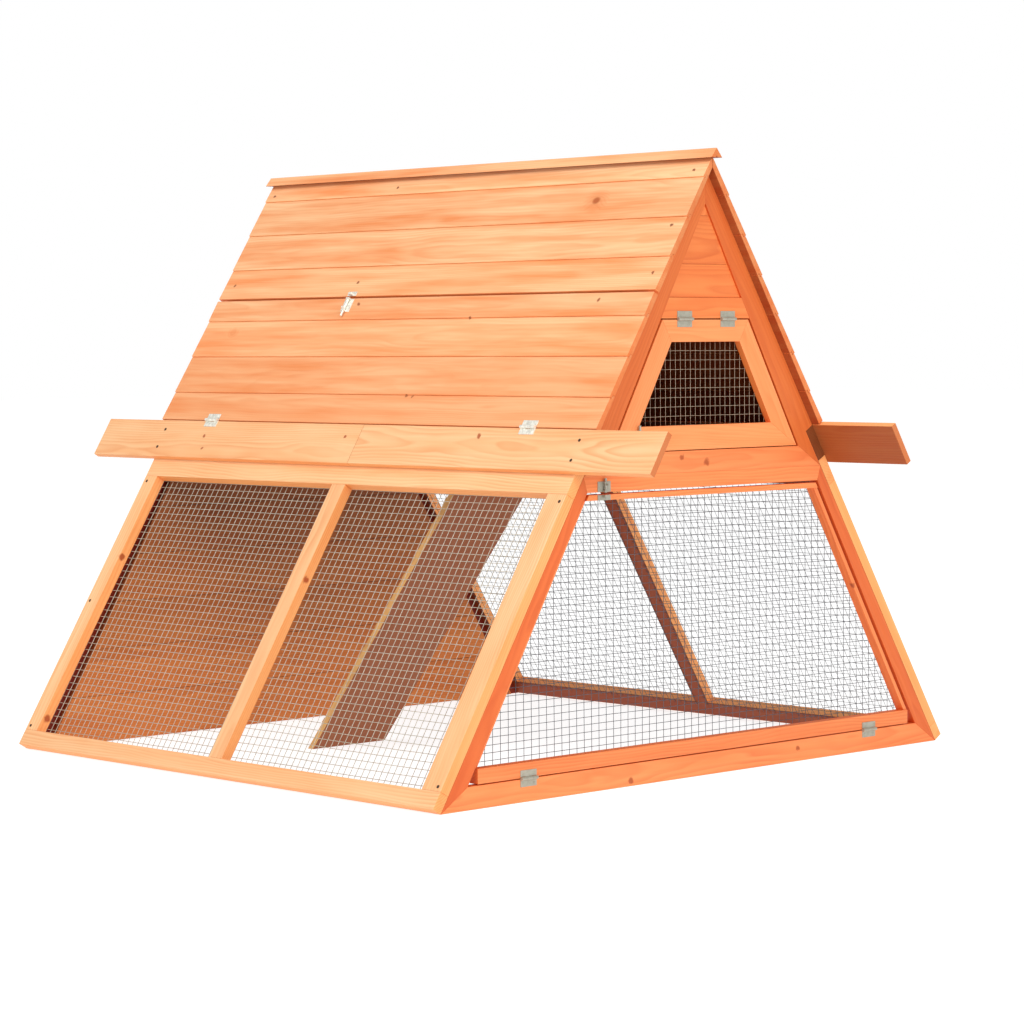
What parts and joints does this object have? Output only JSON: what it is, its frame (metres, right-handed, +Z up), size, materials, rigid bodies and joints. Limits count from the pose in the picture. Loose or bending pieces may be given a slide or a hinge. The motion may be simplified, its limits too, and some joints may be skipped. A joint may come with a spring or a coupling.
{
  "type": "chicken coop",
  "caption": "A-frame wooden chicken coop: mesh run below, boarded house above, drop-down run door, top-hung mesh hatch, lifting roof door, ramp and carrying boards.",
  "frame": {"origin": "on the ground, under the middle of the coop", "axes": "+X across the gables to the right seen from the run door, +Y along the ridge from the run door to the closed rear, +Z up"},
  "size_m": [1.28, 1.52, 1.0801],
  "materials": {
    "frame_wood": "planed fir with an orange-brown glaze",
    "roof_wood": "planed fir shiplap with a pale orange glaze",
    "board_wood": "planed fir boards with an orange-brown glaze",
    "galvanised_wire": "galvanised welded wire",
    "zinc_steel": "bright zinc plate"
  },
  "bodies": {
    "root": {"left_bottom_rail": "frame_wood", "right_bottom_rail": "frame_wood", "left_top_rail": "frame_wood", "right_top_rail": "frame_wood", "left_stiles": "frame_wood", "right_stiles": "frame_wood", "left_front_mesh": "galvanised_wire", "left_rear_mesh": "galvanised_wire", "right_front_mesh": "galvanised_wire", "right_rear_mesh": "galvanised_wire", "front_legs": "frame_wood", "front_run_rails": "frame_wood", "rear_legs": "frame_wood", "rear_run_rails": "frame_wood", "rear_wall_boards": "board_wood", "front_rafters": "frame_wood", "front_cross_rail": "frame_wood", "front_gable_boards": "board_wood", "rear_rafters": "frame_wood", "rear_cross_rail": "frame_wood", "rear_gable_boards": "board_wood", "house_side_rails": "frame_wood", "left_purlin": "board_wood", "left_roof_boards": "roof_wood", "right_roof_boards": "roof_wood", "ridge_cap": "roof_wood", "left_handle_boards": "frame_wood", "right_handle_boards": "frame_wood", "floor_bearers": "board_wood", "house_floor": "board_wood", "ramp_board": "board_wood", "ramp_cleats": "board_wood", "fixed_hinge_leaves": "zinc_steel", "hinge_pins": "zinc_steel", "fixed_hinge_screws": "zinc_steel", "bolt_keepers": "zinc_steel", "run_door_bolt_case": "zinc_steel", "frame_screws": "zinc_steel"},
    "run_door": {"run_door_rails": "frame_wood", "run_door_stiles": "frame_wood", "run_door_mesh": "galvanised_wire", "run_door_hinge_leaves": "zinc_steel", "run_door_hinge_screws": "zinc_steel", "run_door_bolt_keeper": "zinc_steel"},
    "hatch": {"hatch_rails": "frame_wood", "hatch_stiles": "frame_wood", "hatch_mesh": "galvanised_wire", "hatch_hinge_leaves": "zinc_steel", "hatch_hinge_screws": "zinc_steel", "hatch_bolt_case": "zinc_steel"},
    "roof_door": {"roof_door_boards": "roof_wood", "roof_door_battens": "board_wood", "roof_door_hinge_leaves": "zinc_steel", "roof_door_hinge_screws": "zinc_steel", "roof_door_bolt_case": "zinc_steel"},
    "run_door_bolt": {"run_door_bolt": "zinc_steel"},
    "hatch_bolt": {"hatch_bolt": "zinc_steel"},
    "roof_door_bolt": {"roof_door_bolt": "zinc_steel"}
  },
  "joints": [
    {"name": "run_door", "type": "hinge", "parent": "root", "child": "run_door", "pos_m": [0, -0.58055, 0.039], "axis": [1, 0, 0], "range_deg": [0, 93]},
    {"name": "hatch", "type": "hinge", "parent": "root", "child": "hatch", "pos_m": [0, -0.58055, 0.788], "axis": [-1, 0, 0], "range_deg": [0, 120]},
    {"name": "roof_door", "type": "hinge", "parent": "root", "child": "roof_door", "pos_m": [-0.28871, 0, 0.60793], "axis": [0, -1, 0], "range_deg": [0, 165]},
    {"name": "run_door_bolt", "type": "slide", "parent": "root", "child": "run_door_bolt", "axis": [0, 0, -1], "range_m": [0, 0.007]},
    {"name": "hatch_bolt", "type": "slide", "parent": "hatch", "child": "hatch_bolt", "axis": [0, 0, -1], "range_m": [0, 0.01]},
    {"name": "roof_door_bolt", "type": "slide", "parent": "roof_door", "child": "roof_door_bolt", "axis": [0.5255, 0, 0.8508], "range_m": [0, 0.012]}
  ]
}
